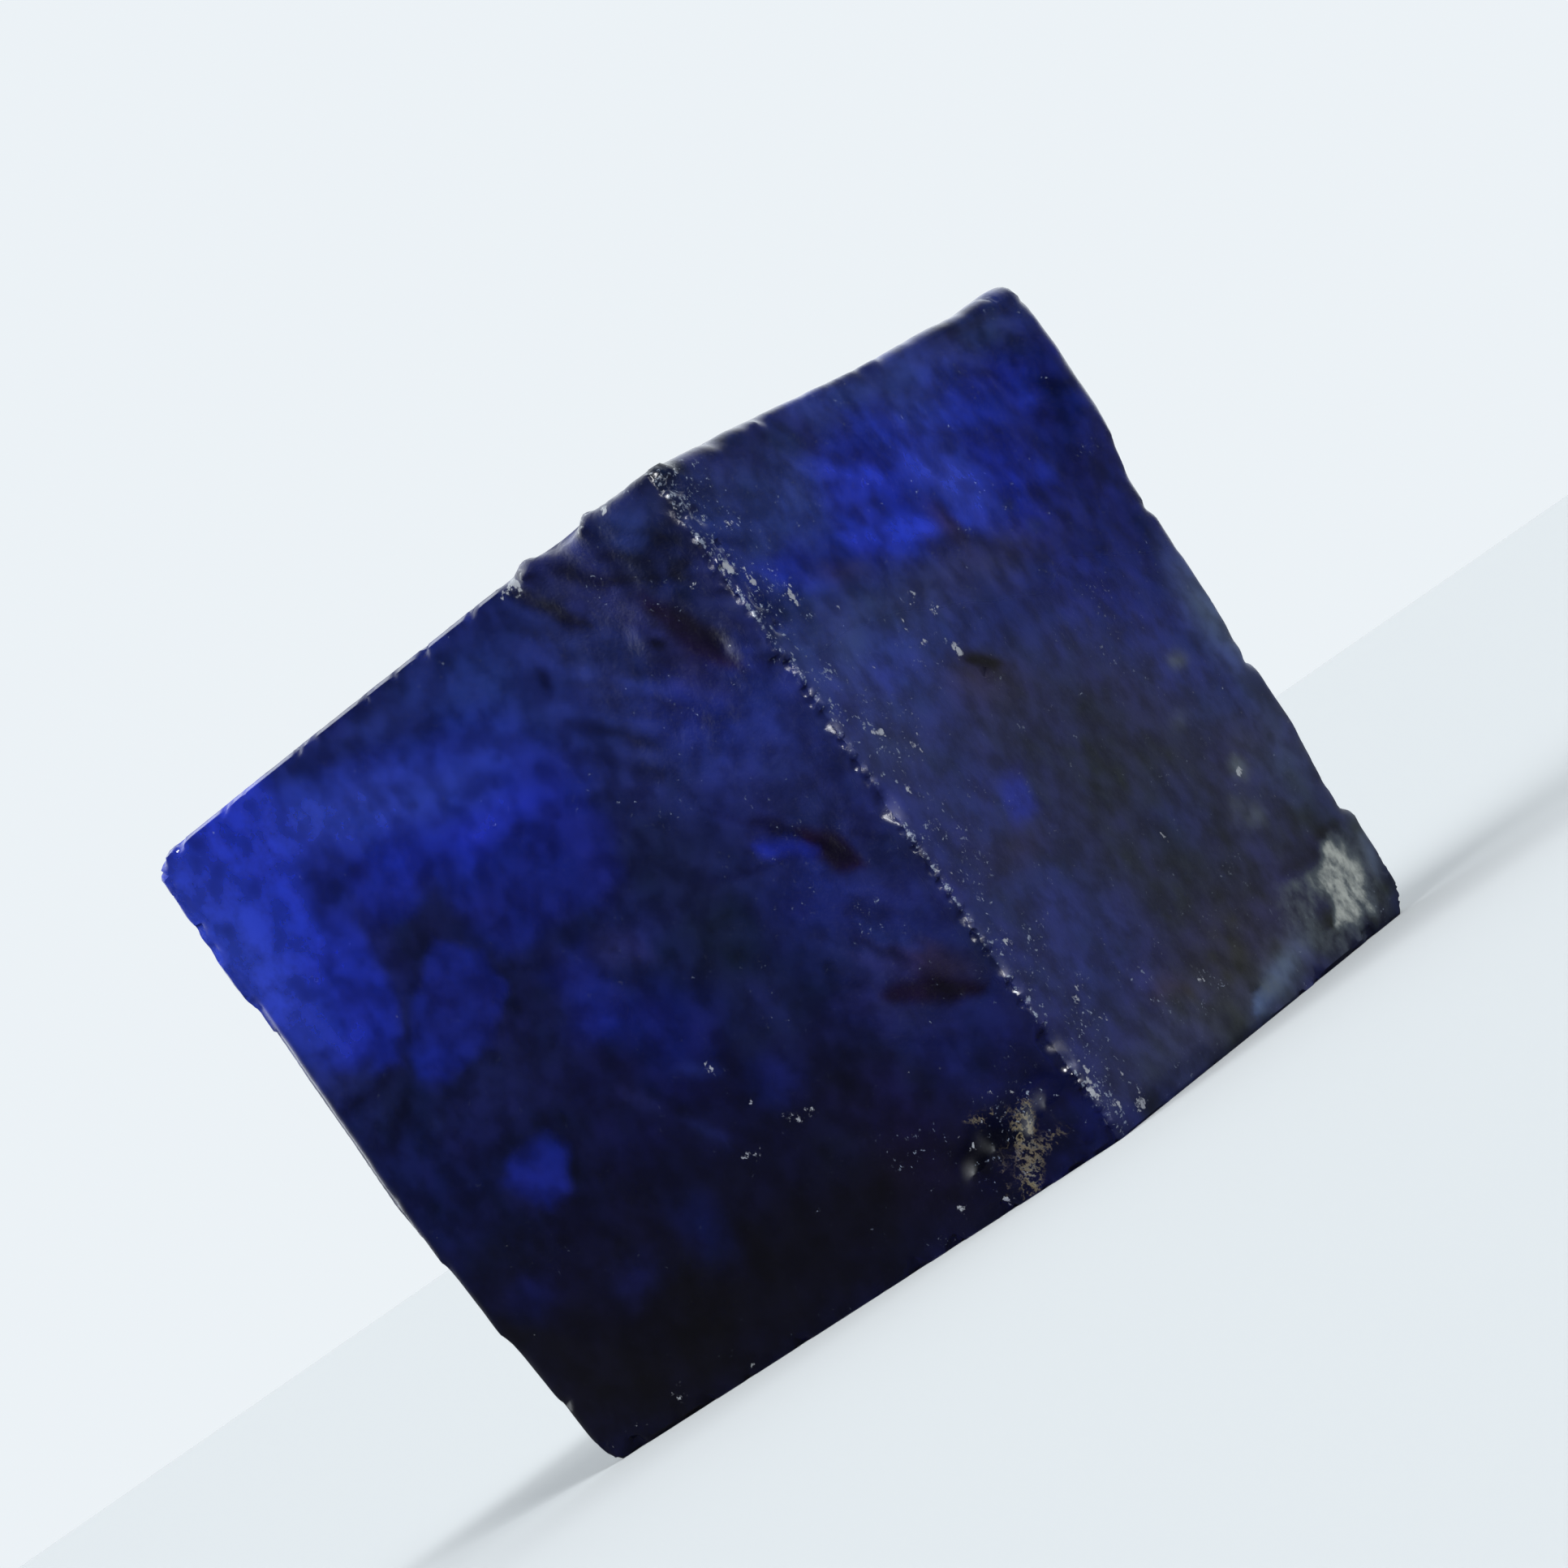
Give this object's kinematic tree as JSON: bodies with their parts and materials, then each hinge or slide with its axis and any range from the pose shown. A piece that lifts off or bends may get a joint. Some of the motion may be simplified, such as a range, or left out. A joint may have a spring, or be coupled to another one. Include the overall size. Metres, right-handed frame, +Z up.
{
  "type": "rough sapphire",
  "caption": "Rough, blocky crystal of deep blue sapphire with chipped edges, standing on its flat lower end.",
  "frame": {"origin": "middle of the stone's footprint, on the surface that it stands on", "axes": "+Z up; the crystal's two best faces look along -Y and +X and meet in the near upright edge"},
  "size_m": [0.025, 0.0232, 0.0247],
  "materials": {
    "sapphire": "satin"
  },
  "bodies": {
    "root": {"sapphire": "sapphire"}
  },
  "joints": []
}
